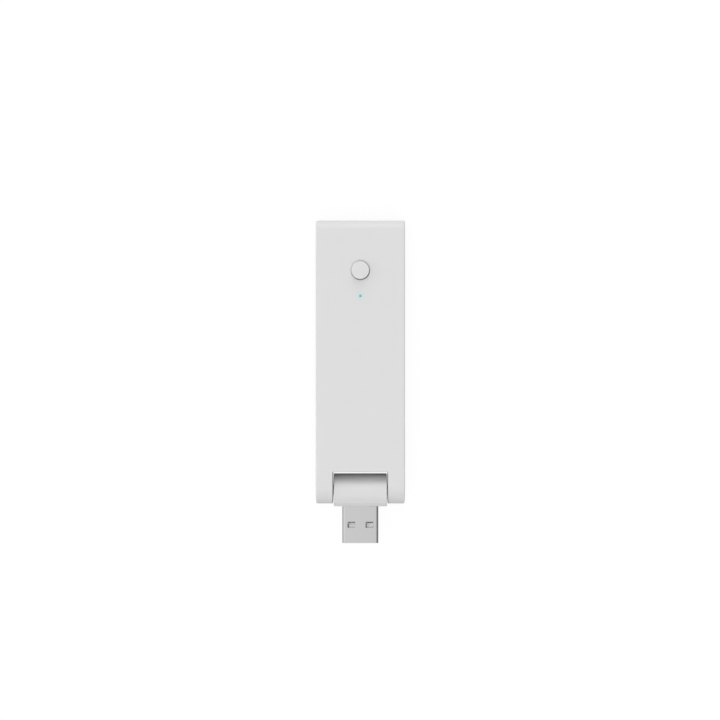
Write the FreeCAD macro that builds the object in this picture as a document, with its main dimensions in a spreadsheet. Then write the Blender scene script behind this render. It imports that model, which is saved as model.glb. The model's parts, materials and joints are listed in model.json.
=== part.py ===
import FreeCAD, Part
import math
import os
import Sketcher

# A stick-shaped smart home hub with a USB plug on a hinge at its lower end.
# It lies on its back: X is its width, Y runs from the plug to the top end, Z points out of the front.
# Every sub-part is modelled round the hinge axis, and its Placement moves it to the hub's own frame.

SIZES = {
    # Housing
    "body_length": 93.9,
    "body_width": 29.3,
    "body_thickness": 11.2,
    "wall": 1.3,
    "end_round": 3.0,
    "side_round": 0.4,
    "ear_width": 5.55,
    "notch_depth": 11.0,
    "notch_chamfer": 0.2,
    "parting_chamfer": 0.1,
    # Lip and snaps that hold the two covers together
    "lip_thickness": 0.55,
    "lip_height": 0.8,
    "snap_length": 4.0,
    "snap_height": 0.35,
    "snap_depth": 0.2,
    "snap_level": 0.3,
    "snap_pitch": 24.0,
    "snap_inset": 16.0,
    "rib_width": 0.8,
    "rib_height": 0.8,
    "rib_pitch": 8.0,
    "rib_inset": 26.0,
    # Button, its switch and the status light
    "button_inset": 16.75,
    "button_diameter": 5.9,
    "button_proud": 0.85,
    "button_chamfer": 0.25,
    "button_gap": 0.18,
    "button_travel": 0.25,
    "flange_reach": 0.8,
    "flange_thickness": 0.6,
    "stem_diameter": 2.6,
    "guide_wall": 0.8,
    "guide_height": 1.4,
    "switch_side": 4.5,
    "switch_height": 2.9,
    "leg_spacing": 3.0,
    "plunger_diameter": 2.4,
    "plunger_rise": 0.9,
    "plunger_depth": 0.5,
    "light_inset": 25.1,
    "light_diameter": 0.8,
    "pipe_diameter": 2.0,
    "led_length": 1.6,
    "led_width": 0.8,
    "led_height": 0.7,
    # Hinge block
    "axis_inset": 4.4,
    "block_gap": 0.45,
    "block_thickness": 10.9,
    "block_drop": 0.6,
    "block_wall": 1.2,
    "block_slant": 2.3,
    "block_lower_round": 3.9,
    "block_chamfer": 0.2,
    "plug_clearance": 0.3,
    "stop_width": 0.6,
    "stop_overlap": 0.8,
    # Pivot pins, disc springs and the cable through the hinge
    "pin_diameter": 3.4,
    "pin_bore": 2.2,
    "pin_head_diameter": 4.8,
    "pin_head_height": 0.6,
    "pin_flange_diameter": 5.0,
    "pin_flange_height": 0.8,
    "pin_flats": 4.0,
    "spring_diameter": 4.6,
    "spring_sheet": 0.2,
    "spring_height": 0.4,
    "running_gap": 0.05,
    "fixed_gap": 0.03,
    "margin": 1.0,
    "cable_width": 1.2,
    "cable_thickness": 0.5,
    "cable_turn": 1.5,
    "cable_bend": 3.0,
    "cable_offset": 3.4,
    # Plug
    "plug_reach": 12.3,
    "plug_width": 12.0,
    "plug_thickness": 4.5,
    "shell_sheet": 0.3,
    "shell_corner": 0.6,
    "shell_seat": 3.3,
    "seam_width": 0.08,
    "lock_depth": 1.2,
    "lock_neck": 1.0,
    "lock_head": 1.8,
    "lock_inset": 2.6,
    "lock_spacing": 6.9,
    "window_width": 2.5,
    "window_length": 1.95,
    "window_spacing": 6.0,
    "window_inset": 5.13,
    "tongue_gap": 0.15,
    "tongue_thickness": 1.84,
    "tongue_inset": 0.45,
    "contact_width": 1.0,
    "contact_thickness": 0.25,
    "contact_proud": 0.1,
    "contact_outer": 3.5,
    "contact_inner": 1.0,
    "outer_start": 1.0,
    "inner_start": 2.0,
    "contact_tail": 1.75,
    "plug_board_width": 10.8,
    "plug_board_length": 4.8,
    "plug_board_thickness": 0.8,
    "plug_board_notch": 1.2,
    # Main board and what it carries
    "board_thickness": 1.2,
    "board_gap": 0.5,
    "board_corner": 1.0,
    "part_gap": 0.1,
    "boss_diameter": 3.6,
    "post_diameter": 2.4,
    "post_spacing": 21.0,
    "lower_post": 15.0,
    "upper_post_inset": 12.0,
    "screw_diameter": 1.6,
    "screw_head": 3.0,
    "screw_head_height": 0.8,
    "screw_length": 4.0,
    "screw_offset": 9.4,
    "lower_screw": 26.0,
    "upper_screw_inset": 23.0,
    "can_width": 20.0,
    "can_lower_gap": 2.0,
    "can_upper_gap": 5.5,
    "can_height": 2.2,
    "can_sheet": 0.2,
    "processor_side": 9.0,
    "processor_height": 0.9,
    "processor_offset": 3.8,
    "memory_width": 6.5,
    "memory_length": 9.0,
    "memory_height": 0.9,
    "memory_offset": 5.2,
    "pad_side": 14.0,
    "flash_width": 5.3,
    "flash_length": 5.2,
    "flash_height": 1.5,
    "flash_place": 31.0,
    "flash_offset": 2.0,
    "lead_width": 0.4,
    "lead_pitch": 1.27,
    "lead_reach": 1.2,
    "lead_height": 0.7,
    "radio_width": 12.0,
    "radio_length": 15.0,
    "radio_board": 0.8,
    "radio_can_height": 1.5,
    "radio_margin": 1.0,
    "radio_place": 26.0,
    "radio_offset": 5.5,
    "antenna_length": 10.0,
    "antenna_width": 4.0,
    "antenna_height": 2.6,
    "antenna_sheet": 0.3,
    "antenna_leg": 1.2,
    "antenna_spacing": 12.0,
    "antenna_inset": 6.0,
    "connector_width": 5.0,
    "connector_depth": 3.2,
    "connector_height": 2.6,
    "connector_place": 14.6,
    "connector_inset": 4.7,
    "inductor_side": 4.0,
    "inductor_height": 2.0,
    "inductor_corner": 0.8,
    "inductor_offset": 9.0,
    "power_place": 13.5,
    "regulator_side": 3.0,
    "regulator_height": 1.0,
    "regulator_offset": 4.5,
    "crystal_length": 3.2,
    "crystal_width": 2.5,
    "crystal_height": 0.8,
    "crystal_offset": 7.0,
    "crystal_gap": 1.5,
    "capacitor_length": 1.6,
    "capacitor_width": 0.8,
    "capacitor_pitch": 1.8,
    "capacitor_offset": 0.5,
}

# Places along Y, from the hinge axis
END = "(-Sizes.axis_inset)"
TOP = "(Sizes.body_length - Sizes.axis_inset)"
NOTCH_TOP = "(Sizes.notch_depth - Sizes.axis_inset)"
BLOCK_END = "(-Sizes.axis_inset - Sizes.block_drop)"
TIP = "(-Sizes.axis_inset - Sizes.block_drop - Sizes.plug_reach)"
SHELL_BACK = f"({BLOCK_END} + Sizes.shell_seat)"
BUTTON_Y = f"({TOP} - Sizes.button_inset)"
LIGHT_Y = f"({TOP} - Sizes.light_inset)"
BOARD_END = f"({NOTCH_TOP} + Sizes.wall + Sizes.board_gap)"
BOARD_TOP_END = f"({TOP} - Sizes.wall - Sizes.board_gap)"
CAN_LOW = "(Sizes.radio_place + Sizes.radio_length / 2 + Sizes.can_lower_gap)"
CAN_HIGH = f"({LIGHT_Y} - Sizes.can_upper_gap)"
CAN_Y = f"(({CAN_LOW} + {CAN_HIGH}) / 2)"

# Levels along Z, from the hinge axis
HALF = "(Sizes.body_thickness / 2)"
INSIDE = "(Sizes.body_thickness / 2 - Sizes.wall)"
BOARD_FRONT = "(-Sizes.cable_width / 2 - Sizes.part_gap)"
BOARD_BACK = f"({BOARD_FRONT} - Sizes.board_thickness)"
TONGUE_FRONT = "(Sizes.plug_thickness / 2 - Sizes.shell_sheet)"
TONGUE_BACK = f"({TONGUE_FRONT} - Sizes.tongue_thickness)"
CONTACT_BACK = f"({TONGUE_BACK} - Sizes.contact_proud)"
STOP_LEVEL = f"({TONGUE_FRONT} - Sizes.stop_overlap)"
PIPE_FOOT = f"({BOARD_FRONT} + Sizes.led_height + Sizes.part_gap)"

# Places across X, from the middle
SIDE = "(Sizes.body_width / 2)"
NOTCH_SIDE = f"({SIDE} - Sizes.ear_width)"
BLOCK_SIDE = f"({NOTCH_SIDE} - Sizes.block_gap)"
BLOCK_INSIDE = "(Sizes.plug_width / 2 + Sizes.plug_clearance)"
FLANGE_END = f"({BLOCK_INSIDE} + Sizes.pin_flange_height)"
TONGUE_SIDE = "(Sizes.plug_width / 2 - Sizes.shell_sheet - Sizes.tongue_gap)"
EAR_INSIDE = f"({NOTCH_SIDE} + Sizes.wall)"
HEAD_START = f"({EAR_INSIDE} + Sizes.spring_height)"
HEAD_END = f"({HEAD_START} + Sizes.pin_head_height)"
BOARD_SIDE = f"({SIDE} - Sizes.wall - Sizes.board_gap)"
CONNECTOR_X = f"({SIDE} - Sizes.connector_inset)"
CABLE_INNER_END = "(Sizes.plug_board_width / 2 - Sizes.plug_board_notch)"

# The lip on the back cover, as a depth into the wall and a place along Y
LIP_DEPTH = "(Sizes.wall - Sizes.lip_thickness)"
LIP_START = BOARD_END

# Screws as places across X and along Y; contacts as a name, a place across X and a start from the tip
SCREWS = [
    ("Sizes.screw_offset", "Sizes.lower_screw"),
    ("-Sizes.screw_offset", f"({TOP} - Sizes.upper_screw_inset)"),
]
CONTACTS = [
    ("1", "(-Sizes.contact_outer)", "Sizes.outer_start"),
    ("2", "(-Sizes.contact_inner)", "Sizes.inner_start"),
    ("3", "Sizes.contact_inner", "Sizes.inner_start"),
    ("4", "Sizes.contact_outer", "Sizes.outer_start"),
]

# The hinge axis in the hub's own frame, whose origin is the middle of the whole length, on the floor
AXIS_Y = f"(({BLOCK_END} - Sizes.plug_reach + {TOP}) / -2)"
AXIS_Z = HALF

# Lengths that differ by less than this are the same
SAME = 1e-4

document = FreeCAD.newDocument("SmartHub")
sheet = document.addObject("Spreadsheet::Sheet", "Sizes")
for row, (alias, number) in enumerate(SIZES.items(), 1):
    sheet.set(f"A{row}", alias)
    sheet.set(f"B{row}", str(number))
    sheet.setAlias(f"B{row}", alias)
document.recompute()

sub_parts = []


def value(expression):
    """Return what an expression of the size sheet comes to."""
    return float(sheet.evalExpression(str(expression)))


def bind(item, prop, expression):
    """Bind a property to an expression of the size sheet."""
    item.setExpression(prop, str(expression))


def place(item, x="0", y="0", z="0"):
    """Put an item at x, y, z from the hinge axis, in the hub's frame."""
    bind(item, "Placement.Base.x", x)
    bind(item, "Placement.Base.y", f"{AXIS_Y} + {y}")
    bind(item, "Placement.Base.z", f"{AXIS_Z} + {z}")


def keep(item):
    """Count an item as one of the hub's sub-parts."""
    sub_parts.append(item)
    return item


def new_body(label):
    """Return a new body for a sub-part."""
    body = document.addObject("PartDesign::Body", label)
    body.Label = label
    place(body)
    return keep(body)


def new_sketch(body, role, name, level="0"):
    """Return a sketch on one of the body's own planes, moved out along its normal."""
    sketch = body.newObject("Sketcher::SketchObject", name)
    plane = next(item for item in body.Origin.OriginFeatures if item.Role == role)
    sketch.AttachmentSupport = (plane, [""])
    sketch.MapMode = "FlatFace"
    bind(sketch, "AttachmentOffset.Base.z", level)
    return sketch


def fix_point(sketch, geometry, point, x, y):
    """Give a sketch point its place; a coordinate of None is left to the geometry."""
    for kind, expression in (("DistanceX", x), ("DistanceY", y)):
        if expression is not None:
            constraint = Sketcher.Constraint(kind, -1, 1, geometry, point, value(expression))
            number = sketch.addConstraint(constraint)
            bind(sketch, f"Constraints[{number}]", expression)


def draw_outline(sketch, corners, arcs=None):
    """Draw a closed outline, anticlockwise; arcs holds the centre of each side that is an arc."""
    arcs = arcs or {}
    spots = [FreeCAD.Vector(value(x), value(y), 0) for x, y in corners]
    first = sketch.GeometryCount
    loose = {}
    for side, spot in enumerate(spots):
        after = (side + 1) % len(spots)
        if side in arcs:
            centre = FreeCAD.Vector(value(arcs[side][0]), value(arcs[side][1]), 0)
            start = spot - centre
            stop = spots[after] - centre
            circle = Part.Circle(centre, FreeCAD.Vector(0, 0, 1), start.Length)
            turns = [math.atan2(reach.y, reach.x) for reach in (start, stop)]
            sketch.addGeometry(Part.ArcOfCircle(circle, *turns), False)
            loose[after] = 0 if abs(stop.x) > abs(stop.y) else 1
        else:
            sketch.addGeometry(Part.LineSegment(spot, spots[after]), False)
    for side in range(len(spots)):
        after = (side + 1) % len(spots)
        sketch.addConstraint(Sketcher.Constraint("Coincident", first + side, 2, first + after, 1))
    for side, corner in enumerate(corners):
        x, y = [None if loose.get(side) == axis else corner[axis] for axis in (0, 1)]
        fix_point(sketch, first + side, 1, x, y)
    for side, centre in arcs.items():
        fix_point(sketch, first + side, 3, *centre)


def draw_rectangle(sketch, left, right, low, high):
    """Draw a rectangle between four expressions."""
    draw_outline(sketch, [(left, low), (right, low), (right, high), (left, high)])


def draw_rounded(sketch, width, height, radius):
    """Draw a rectangle with round corners about the origin."""
    x, y = f"({width}) / 2", f"({height}) / 2"
    near_x, near_y = f"({x} - ({radius}))", f"({y} - ({radius}))"
    corners = [(f"-{near_x}", f"-({y})"), (near_x, f"-({y})"), (x, f"-{near_y}"), (x, near_y),
               (near_x, y), (f"-{near_x}", y), (f"-({x})", near_y), (f"-({x})", f"-{near_y}")]
    centres = {1: (near_x, f"-{near_y}"), 3: (near_x, near_y),
               5: (f"-{near_x}", near_y), 7: (f"-{near_x}", f"-{near_y}")}
    draw_outline(sketch, corners, centres)


def draw_circle(sketch, x, y, diameter):
    """Draw a circle."""
    centre = FreeCAD.Vector(value(x), value(y), 0)
    circle = Part.Circle(centre, FreeCAD.Vector(0, 0, 1), value(diameter) / 2)
    number = sketch.addGeometry(circle, False)
    fix_point(sketch, number, 3, x, y)
    size = sketch.addConstraint(Sketcher.Constraint("Diameter", number, value(diameter)))
    bind(sketch, f"Constraints[{size}]", diameter)


def volume(body):
    """Return the body's volume as it stands."""
    document.recompute()
    return body.Tip.Shape.Volume if body.Tip else 0.0


def extrude(body, kind, name, sketch, length, symmetric=False, reverse=False):
    """Add a Pad or a Pocket, and make sure that it adds or cuts something."""
    before = volume(body)
    feature = body.newObject(f"PartDesign::{kind}", name)
    feature.Profile = sketch
    feature.SideType = "Symmetric" if symmetric else "One side"
    feature.Reversed = reverse
    bind(feature, "Length", length)
    change = volume(body) - before
    if change == 0 or (change > 0) != (kind == "Pad"):
        raise ValueError(f"{body.Label}: {name} changes the volume by {change:.4f}")
    return feature


def pad(body, name, sketch, length, **ways):
    """Add material to a body."""
    return extrude(body, "Pad", name, sketch, length, **ways)


def cut(body, name, sketch, length, **ways):
    """Cut material out of a body."""
    return extrude(body, "Pocket", name, sketch, length, **ways)


def chosen(shape, kind, test):
    """Name the faces or edges of a shape that pass a test on their box."""
    items = shape.Faces if kind == "Face" else shape.Edges
    return [f"{kind}{number}" for number, item in enumerate(items, 1) if test(item.BoundBox)]


def soften(body, kind, name, size, edges):
    """Add a Fillet or a Chamfer along the named edges of a body."""
    base = body.Tip
    feature = body.newObject(f"PartDesign::{kind}", name)
    feature.Base = (base, edges)
    bind(feature, "Radius" if kind == "Fillet" else "Size", size)
    document.recompute()
    return feature


def round_edges(body, name, radius, test):
    """Round the edges that pass a test on their box."""
    document.recompute()
    return soften(body, "Fillet", name, radius, chosen(body.Tip.Shape, "Edge", test))


def chamfer_edges(body, name, size, test):
    """Chamfer the edges that pass a test on their box."""
    document.recompute()
    return soften(body, "Chamfer", name, size, chosen(body.Tip.Shape, "Edge", test))


def chamfer_parting(body):
    """Chamfer a half's outline where it meets the other half, which leaves a fine line round the two."""
    document.recompute()
    shape = body.Tip.Shape
    flats = [face for face in shape.Faces if flat_at(face.BoundBox.ZMin, face.BoundBox.ZMax, 0)]
    outline = max(flats, key=lambda face: face.BoundBox.DiagonalLength).OuterWire.Edges
    edges = [f"Edge{number}" for number, edge in enumerate(shape.Edges, 1)
             if any(edge.isSame(item) for item in outline)]
    soften(body, "Chamfer", "parting_line", "Sizes.parting_chamfer", edges)


def near(first, second):
    """Tell whether two lengths are the same."""
    return abs(first - second) < SAME


def upright(box):
    """Tell whether a box has a height."""
    return box.ZMax - box.ZMin > SAME


def flat_at(low, high, spot):
    """Tell whether a box lies flat at one place on an axis."""
    return near(low, spot) and near(high, spot)


def shell_out(body, name, thickness):
    """Hollow a body from its flat face at the level of the hinge axis."""
    document.recompute()
    base = body.Tip
    hollow = body.newObject("PartDesign::Thickness", name)
    hollow.Base = (base, chosen(base.Shape, "Face", lambda box: flat_at(box.ZMin, box.ZMax, 0)))
    hollow.Reversed = True
    hollow.Join = "Intersection"
    bind(hollow, "Value", thickness)
    document.recompute()
    return hollow


def revolve(body, name, sketch, axis):
    """Turn a sketch all the way round one of its own axes."""
    turn = body.newObject("PartDesign::Revolution", name)
    turn.Profile = sketch
    turn.ReferenceAxis = (sketch, [axis])
    turn.Angle = 360
    document.recompute()
    return turn


def cover_block(body, front):
    """Make the outer form of one cover: its side profile across the hub's width, and the notch."""
    bend = f"({END} + {HALF})"
    sketch = new_sketch(body, "YZ_Plane", "side_profile")
    if front:
        corners = [(END, "0"), (TOP, "0"), (TOP, HALF), (bend, HALF)]
        draw_outline(sketch, corners, {3: (bend, "0")})
    else:
        corners = [(TOP, "0"), (END, "0"), (bend, f"-{HALF}"), (TOP, f"-{HALF}")]
        draw_outline(sketch, corners, {1: (bend, "0")})
    pad(body, "block", sketch, "Sizes.body_width", symmetric=True)
    level = value(HALF) if front else -value(HALF)
    round_edges(body, "top_end", "Sizes.end_round",
                lambda box: flat_at(box.YMin, box.YMax, value(TOP)) and flat_at(box.ZMin, box.ZMax, level))
    notch = new_sketch(body, "XY_Plane", "notch_plan")
    draw_rectangle(notch, f"-{NOTCH_SIDE}", NOTCH_SIDE, f"{END} - Sizes.margin", NOTCH_TOP)
    cut(body, "notch", notch, "Sizes.body_thickness * 2", symmetric=True)


def cover_edges(body, front):
    """Soften a cover's long edges, and the edges of its notch."""
    level = value(HALF) if front else -value(HALF)

    def outside(box):
        return flat_at(box.ZMin, box.ZMax, level) or upright(box)

    def long_edge(box):
        return flat_at(abs(box.XMin), abs(box.XMax), value(SIDE)) and outside(box)

    def notch_edge(box):
        at_side = flat_at(abs(box.XMin), abs(box.XMax), value(NOTCH_SIDE))
        at_top = flat_at(box.YMin, box.YMax, value(NOTCH_TOP)) and flat_at(box.ZMin, box.ZMax, level)
        corner = flat_at(box.YMin, box.YMax, value(NOTCH_TOP)) and at_side
        return at_top or (at_side and outside(box) and not corner)

    round_edges(body, "long_edges", "Sizes.side_round", long_edge)
    chamfer_edges(body, "notch_edges", "Sizes.notch_chamfer", notch_edge)
    chamfer_parting(body)


def cover_bearings(body):
    """Cut the half-round bearings for the pivot pins through the ears' inner walls."""
    sketch = new_sketch(body, "YZ_Plane", "bearing_circle")
    draw_circle(sketch, "0", "0", "Sizes.pin_diameter + 2 * Sizes.running_gap")
    cut(body, "bearings", sketch, f"2 * ({EAR_INSIDE} + Sizes.spring_height)", symmetric=True)


def draw_lip(sketch, outer, inner, start):
    """Draw the band that follows the side walls and the top wall, between two depths of the wall."""
    x_out, x_in = f"({SIDE} - {outer})", f"({SIDE} - {inner})"
    y_out, y_in = f"({TOP} - {outer})", f"({TOP} - {inner})"
    corners = [(f"-{x_out}", start), (f"-{x_in}", start), (f"-{x_in}", y_in), (x_in, y_in),
               (x_in, start), (x_out, start), (x_out, y_out), (f"-{x_out}", y_out)]
    draw_outline(sketch, corners)


def draw_snaps(sketch, extra):
    """Draw the plan of the three snaps on each side, extra larger all round."""
    base = f"({SIDE} - Sizes.wall + Sizes.lip_thickness)"
    tip = f"({base} + Sizes.snap_depth + {extra})"
    root = f"({base} - Sizes.lip_thickness / 2)"
    for number in range(3):
        middle = f"({NOTCH_TOP} + Sizes.snap_inset + {number} * Sizes.snap_pitch)"
        low = f"({middle} - Sizes.snap_length / 2 - {extra})"
        high = f"({middle} + Sizes.snap_length / 2 + {extra})"
        draw_rectangle(sketch, root, tip, low, high)
        draw_rectangle(sketch, f"-{tip}", f"-{root}", low, high)


def front_cover():
    """The moulded front: notch, button hole, pinhole, ribs, guide rings and screw bosses."""
    body = new_body("front_cover")
    cover_block(body, front=True)
    shell_out(body, "hollow", "Sizes.wall")
    cover_edges(body, front=True)
    cover_bearings(body)
    groove = new_sketch(body, "XY_Plane", "groove_plan")
    draw_lip(groove, f"({LIP_DEPTH} - Sizes.running_gap)", "(Sizes.wall + Sizes.board_gap)",
             f"({LIP_START} - Sizes.running_gap)")
    cut(body, "groove", groove, "Sizes.lip_height + Sizes.running_gap", reverse=True)
    recess = new_sketch(body, "XY_Plane", "snap_recess_plan", "Sizes.snap_level - Sizes.running_gap")
    draw_snaps(recess, "Sizes.running_gap")
    cut(body, "snap_recesses", recess, "Sizes.snap_height + 2 * Sizes.running_gap", reverse=True)
    cover_ribs(body)
    rings = new_sketch(body, "XY_Plane", "button_guide_plan", INSIDE)
    guide = "(Sizes.button_diameter + 2 * Sizes.flange_reach + 2 * Sizes.button_gap)"
    draw_circle(rings, "0", BUTTON_Y, f"{guide} + 2 * Sizes.guide_wall")
    draw_circle(rings, "0", BUTTON_Y, guide)
    pad(body, "button_guide", rings, "Sizes.guide_height", reverse=True)
    rings = new_sketch(body, "XY_Plane", "light_guide_plan", INSIDE)
    guide = "(Sizes.pipe_diameter + 2 * Sizes.running_gap)"
    draw_circle(rings, "0", LIGHT_Y, f"{guide} + 2 * Sizes.guide_wall")
    draw_circle(rings, "0", LIGHT_Y, guide)
    pad(body, "light_guide", rings, "Sizes.guide_height", reverse=True)
    bosses = new_sketch(body, "XY_Plane", "boss_plan", BOARD_FRONT)
    pilots = new_sketch(body, "XY_Plane", "pilot_plan", BOARD_FRONT)
    for x, y in SCREWS:
        draw_circle(bosses, x, y, "Sizes.boss_diameter")
        draw_circle(pilots, x, y, "Sizes.screw_diameter + 2 * Sizes.fixed_gap")
    pad(body, "bosses", bosses, f"{INSIDE} - {BOARD_FRONT}")
    cut(body, "pilot_holes", pilots, "Sizes.screw_length + Sizes.board_gap", reverse=True)
    holes = new_sketch(body, "XY_Plane", "front_hole_plan", HALF)
    draw_circle(holes, "0", BUTTON_Y, "Sizes.button_diameter + 2 * Sizes.button_gap")
    draw_circle(holes, "0", LIGHT_Y, "Sizes.light_diameter")
    cut(body, "front_holes", holes, "Sizes.wall + Sizes.part_gap")


def cover_ribs(body):
    """Add the row of stiffening ribs across the inside of the front."""
    sketch = new_sketch(body, "XY_Plane", "rib_plan", INSIDE)
    draw_rectangle(sketch, f"-({SIDE} - Sizes.wall)", f"({SIDE} - Sizes.wall)",
                   f"{LIGHT_Y} - Sizes.rib_inset - Sizes.rib_width", f"{LIGHT_Y} - Sizes.rib_inset")
    rib = pad(body, "rib", sketch, "Sizes.rib_height", reverse=True)
    row = body.newObject("PartDesign::LinearPattern", "ribs")
    row.Originals = [rib]
    row.Direction = (sketch, ["V_Axis"])
    row.Occurrences = 3
    bind(row, "Length", "2 * Sizes.rib_pitch")
    body.Tip = row
    document.recompute()


def back_cover():
    """The moulded back: notch, lip with snaps, and the posts that the main board rests on."""
    body = new_body("back_cover")
    cover_block(body, front=False)
    shell_out(body, "hollow", "Sizes.wall")
    cover_edges(body, front=False)
    cover_bearings(body)
    lip = new_sketch(body, "XY_Plane", "lip_plan", "-Sizes.lip_height")
    draw_lip(lip, LIP_DEPTH, "Sizes.wall", LIP_START)
    pad(body, "lip", lip, "2 * Sizes.lip_height")
    snaps = new_sketch(body, "XY_Plane", "snap_plan", "Sizes.snap_level")
    draw_snaps(snaps, "0")
    pad(body, "snaps", snaps, "Sizes.snap_height")
    posts = new_sketch(body, "XY_Plane", "post_plan", f"-{INSIDE}")
    for place_y in ("Sizes.lower_post", f"{TOP} - Sizes.upper_post_inset"):
        draw_circle(posts, "Sizes.post_spacing / 2", place_y, "Sizes.post_diameter")
        draw_circle(posts, "-Sizes.post_spacing / 2", place_y, "Sizes.post_diameter")
    pad(body, "posts", posts, f"{BOARD_BACK} + {INSIDE}")


def button_cap():
    """The round push button, with the flange that keeps it in and the stem that works the switch."""
    body = new_body("button_cap")
    radius = "(Sizes.button_diameter / 2)"
    rim = f"({radius} + Sizes.flange_reach)"
    crown = f"({HALF} + Sizes.button_proud)"
    under = f"({INSIDE} - Sizes.flange_thickness)"
    foot = f"({BOARD_FRONT} + Sizes.switch_height + Sizes.plunger_rise)"
    stem = "(Sizes.stem_diameter / 2)"
    slope = "Sizes.button_chamfer"
    sketch = new_sketch(body, "XZ_Plane", "cap_profile")
    corners = [("0", foot), (stem, foot), (stem, under), (rim, under), (rim, INSIDE), (radius, INSIDE),
               (radius, f"{crown} - {slope}"), (f"{radius} - {slope}", crown), ("0", crown)]
    draw_outline(sketch, corners)
    revolve(body, "cap", sketch, "V_Axis")
    place(body, y=BUTTON_Y)


def tact_switch():
    """The tact switch: a square body with four legs, and the plunger that the button pushes."""
    body = new_body("tact_switch_body")
    square = new_sketch(body, "XY_Plane", "switch_plan", BOARD_FRONT)
    half = "(Sizes.switch_side / 2)"
    draw_rectangle(square, f"-{half}", half, f"-{half}", half)
    pad(body, "case", square, "Sizes.switch_height")
    legs = new_sketch(body, "XY_Plane", "leg_plan", BOARD_FRONT)
    reach = f"({half} + Sizes.lead_reach)"
    for sign in ("-", ""):
        middle = f"({sign}Sizes.leg_spacing / 2)"
        low, high = f"{middle} - Sizes.lead_width", f"{middle} + Sizes.lead_width"
        draw_rectangle(legs, f"-{reach}", reach, low, high)
    pad(body, "legs", legs, "Sizes.lead_width / 2")
    well = new_sketch(body, "XY_Plane", "well_plan", f"{BOARD_FRONT} + Sizes.switch_height")
    draw_circle(well, "0", "0", "Sizes.plunger_diameter + 2 * Sizes.running_gap")
    cut(body, "well", well, "Sizes.plunger_depth + Sizes.button_travel + Sizes.running_gap")
    place(body, y=BUTTON_Y)

    body = new_body("tact_switch_plunger")
    disc = new_sketch(body, "XY_Plane", "plunger_plan",
                      f"{BOARD_FRONT} + Sizes.switch_height - Sizes.plunger_depth")
    draw_circle(disc, "0", "0", "Sizes.plunger_diameter")
    pad(body, "plunger", disc, "Sizes.plunger_depth + Sizes.plunger_rise")
    place(body, y=BUTTON_Y)


def light_pipe():
    """The clear pipe that carries the status light from the LED to the pinhole."""
    body = new_body("light_pipe")
    barrel = "(Sizes.pipe_diameter / 2)"
    tip = "(Sizes.light_diameter / 2 - Sizes.fixed_gap)"
    sketch = new_sketch(body, "XZ_Plane", "pipe_profile")
    corners = [("0", PIPE_FOOT), (barrel, PIPE_FOOT), (barrel, INSIDE), (tip, INSIDE), (tip, HALF),
               ("0", HALF)]
    draw_outline(sketch, corners)
    revolve(body, "pipe", sketch, "V_Axis")
    place(body, y=LIGHT_Y)


def block_outline(sketch, inset, front):
    """Draw half of the hinge block's section, round over the axis and slanted at its lower end."""
    radius = f"(Sizes.block_thickness / 2 - {inset})"
    end = f"({BLOCK_END} + {inset})"
    slant = f"(Sizes.block_slant + {inset} * (sqrt(2) - 2))"
    if front:
        corners = [(end, "0"), (radius, "0"), ("0", radius), (f"{end} + {slant}", radius),
                   (end, f"{radius} - {slant}")]
        draw_outline(sketch, corners, {1: ("0", "0")})
    else:
        corners = [(radius, "0"), (end, "0"), (end, f"{slant} - {radius}"),
                   (f"{end} + {slant}", f"-{radius}"), ("0", f"-{radius}")]
        draw_outline(sketch, corners, {4: ("0", "0")})


def block_half(label, front):
    """One moulded half of the hinge block, hollow, with its pin seats and the plug's opening."""
    body = new_body(label)
    outer = new_sketch(body, "YZ_Plane", "block_section")
    block_outline(outer, "0", front)
    pad(body, "block", outer, f"2 * {BLOCK_SIDE}", symmetric=True)
    level = value("Sizes.block_thickness / 2") * (1 if front else -1)
    bend = value(f"{BLOCK_END} + Sizes.block_slant")
    round_edges(body, "lower_round", "Sizes.block_lower_round",
                lambda box: flat_at(box.YMin, box.YMax, bend) and flat_at(box.ZMin, box.ZMax, level))

    def rim(box):
        at_end = flat_at(abs(box.XMin), abs(box.XMax), value(BLOCK_SIDE))
        return at_end and not flat_at(box.ZMin, box.ZMax, 0)

    chamfer_edges(body, "rims", "Sizes.block_chamfer", rim)
    chamfer_parting(body)
    inner = new_sketch(body, "YZ_Plane", "cavity_section")
    block_outline(inner, "Sizes.block_wall", front)
    cut(body, "cavity", inner, f"2 * {BLOCK_INSIDE}", symmetric=True)
    bores = new_sketch(body, "YZ_Plane", "pin_bore_circle")
    draw_circle(bores, "0", "0", "Sizes.pin_diameter + 2 * Sizes.fixed_gap")
    cut(body, "pin_bores", bores, f"2 * {BLOCK_SIDE} + Sizes.margin", symmetric=True)
    seats = new_sketch(body, "YZ_Plane", "flange_seat_outline")
    wide = "(Sizes.pin_flats / 2 + Sizes.fixed_gap)"
    tall = "(Sizes.pin_flange_diameter / 2 + Sizes.fixed_gap)"
    draw_rectangle(seats, f"-{wide}", wide, f"-{tall}", tall)
    cut(body, "flange_seats", seats, f"2 * {FLANGE_END}", symmetric=True)
    opening_level = f"-{BLOCK_END} - Sizes.block_wall - Sizes.part_gap"
    opening = new_sketch(body, "XZ_Plane", "plug_opening", opening_level)
    draw_rounded(opening, "Sizes.plug_width + 2 * Sizes.running_gap",
                 "Sizes.plug_thickness + 2 * Sizes.running_gap", "Sizes.shell_corner + Sizes.running_gap")
    cut(body, "opening", opening, "Sizes.block_wall + Sizes.margin", reverse=True)
    stop = new_sketch(body, "XY_Plane", "shell_stop_plan", STOP_LEVEL if front else f"-{STOP_LEVEL}")
    draw_rectangle(stop, f"-{BLOCK_INSIDE}", BLOCK_INSIDE, SHELL_BACK, f"{SHELL_BACK} + Sizes.stop_width")
    pad(body, "shell_stop", stop, f"Sizes.block_thickness / 2 - Sizes.block_wall / 2 - {STOP_LEVEL}",
        reverse=not front)


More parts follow.
